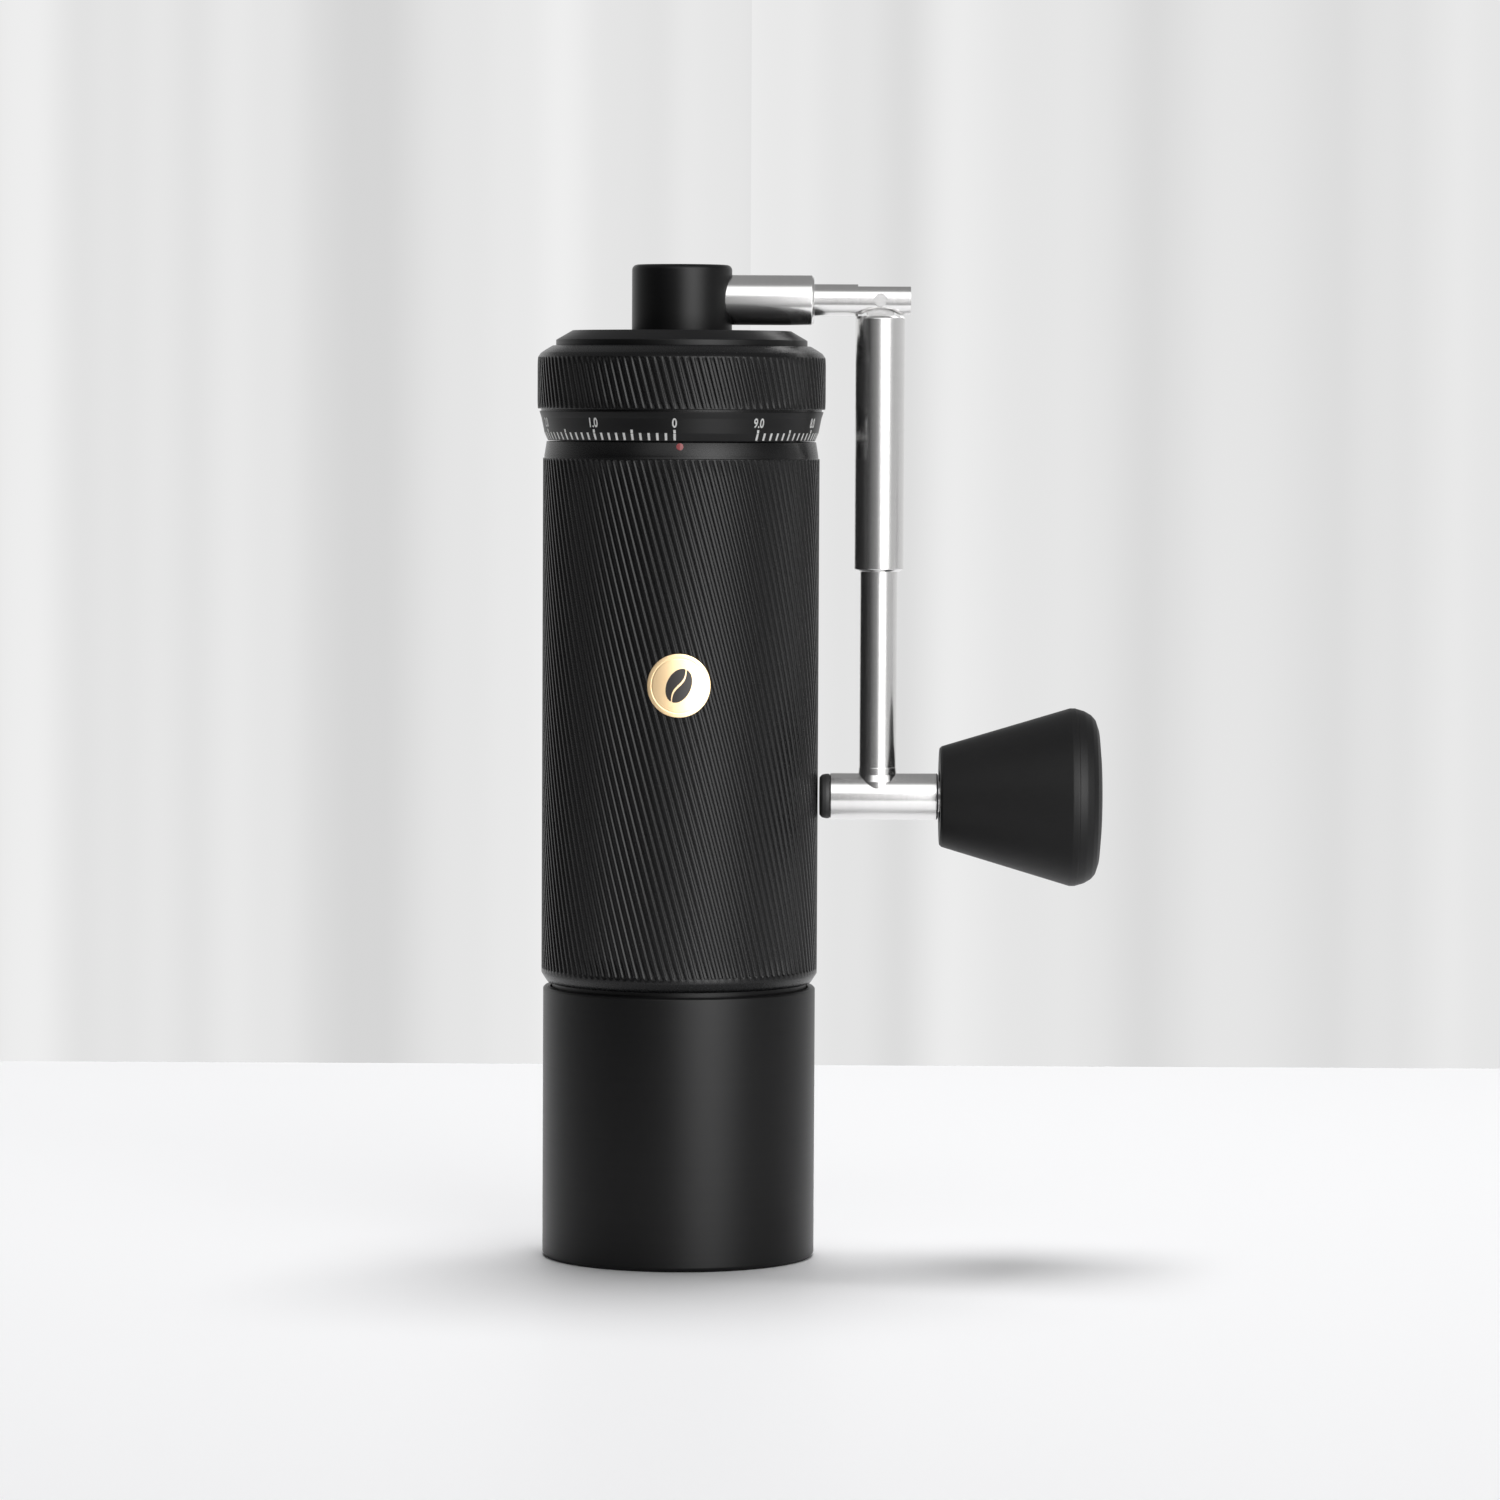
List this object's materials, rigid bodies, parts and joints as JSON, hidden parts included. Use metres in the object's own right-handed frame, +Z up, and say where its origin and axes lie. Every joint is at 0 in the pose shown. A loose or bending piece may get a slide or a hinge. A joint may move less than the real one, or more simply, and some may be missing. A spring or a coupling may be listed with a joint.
{
  "type": "hand crank coffee grinder",
  "caption": "Hand coffee grinder: knurled black tube with a magnet-held cup, an outside numbered grind dial, a lid, and a steel crank folded down beside it ending in a conical knob.",
  "frame": {"origin": "centre of the cup's flat base, on the grinder's axis", "axes": "+Z up along the axis, towards the hub; +X towards the folded crank's knob; the badge and the dial's zero face -Y"},
  "size_m": [0.1065, 0.0542, 0.1867],
  "materials": {
    "black_anodised": "black anodised, satin",
    "stainless": "turned and polished",
    "hard_steel": "ground",
    "spring_steel": "drawn wire",
    "brass": "satin",
    "rubber": "matt",
    "knob_black": "fine matt",
    "grey_polymer": "satin",
    "red_paint": "gloss dot"
  },
  "bodies": {
    "body": {"body_shell": "black_anodised", "burr_housing": "black_anodised", "spigot_seal": "rubber", "cup_magnets": "hard_steel", "ring_burr": "hard_steel", "burr_clamp": "stainless", "burr_screws": "stainless", "liner_tube": "stainless", "lower_spider": "black_anodised", "lower_bearing": "stainless", "preload_spring": "spring_steel", "neck": "black_anodised", "dial_retainer": "black_anodised", "click_spring": "spring_steel", "click_ball": "hard_steel", "index_dot": "red_paint", "badge": "brass"},
    "cup": {"cup": "black_anodised", "cup_steel_ring": "hard_steel"},
    "dial": {"scale_band": "black_anodised", "grip_ring": "black_anodised", "drive_ring": "brass", "click_ring": "hard_steel"},
    "carriage": {"carriage": "black_anodised", "upper_bearing": "stainless"},
    "shaft": {"shaft": "stainless", "cone_burr": "hard_steel", "burr_washer": "stainless", "burr_nut": "stainless", "upper_circlip": "hard_steel", "lower_circlip": "hard_steel", "spring_seat": "stainless"},
    "lid": {"lid": "black_anodised", "lid_seal": "rubber", "lid_bush": "grey_polymer"},
    "handle": {"hub_shell": "black_anodised", "hub_core": "stainless", "core_clip": "hard_steel", "arm_socket": "stainless", "fork_rod": "stainless", "fold_pin": "hard_steel"},
    "arm": {"arm_rod": "stainless", "tee": "stainless", "bumper": "rubber", "bumper_screw": "stainless", "knob_spindle": "stainless"},
    "lock_sleeve": {"lock_sleeve": "stainless"},
    "knob": {"knob": "knob_black", "knob_cap": "knob_black", "front_bush": "grey_polymer", "rear_bush": "grey_polymer"}
  },
  "joints": [
    {"name": "cup_pull", "type": "slide", "parent": "body", "child": "cup", "axis": [0, 0, -1], "range_m": [0, 0.06]},
    {"name": "dial_turn", "type": "hinge", "parent": "body", "child": "dial", "pos_m": [0, 0, 0.1538], "axis": [0, 0, 1], "range_deg": [0, 324]},
    {"name": "burr_gap", "type": "slide", "parent": "body", "child": "carriage", "axis": [0, 0, -1], "range_m": [0, 0.00072], "deforming": ["preload_spring"]},
    {"name": "crank_spin", "type": "hinge", "parent": "carriage", "child": "shaft", "pos_m": [0, 0, 0.16], "axis": [0, 0, 1], "continuous": true},
    {"name": "handle_lift", "type": "slide", "parent": "shaft", "child": "handle", "axis": [0, 0, 1], "range_m": [0, 0.025]},
    {"name": "lid_lift", "type": "slide", "parent": "body", "child": "lid", "axis": [0, 0, 1], "range_m": [0, 0.025]},
    {"name": "arm_fold", "type": "hinge", "parent": "handle", "child": "arm", "pos_m": [0.0372, 0, 0.1802], "axis": [0, -1, 0], "range_deg": [0, 90]},
    {"name": "sleeve_slide", "type": "slide", "parent": "arm", "child": "lock_sleeve", "axis": [0, 0, -1], "range_m": [0, 0.0082]},
    {"name": "knob_spin", "type": "hinge", "parent": "arm", "child": "knob", "pos_m": [0.06, 0, 0.087], "axis": [1, 0, 0], "continuous": true}
  ],
  "couplings": [
    {"joint": "dial_turn", "follows": "burr_gap", "rad_per_m": 7854},
    {"joint": "lid_lift", "follows": "handle_lift", "ratio": 1},
    {"joint": "sleeve_slide", "follows": "arm_fold", "m_per_rad": 0.0052}
  ]
}
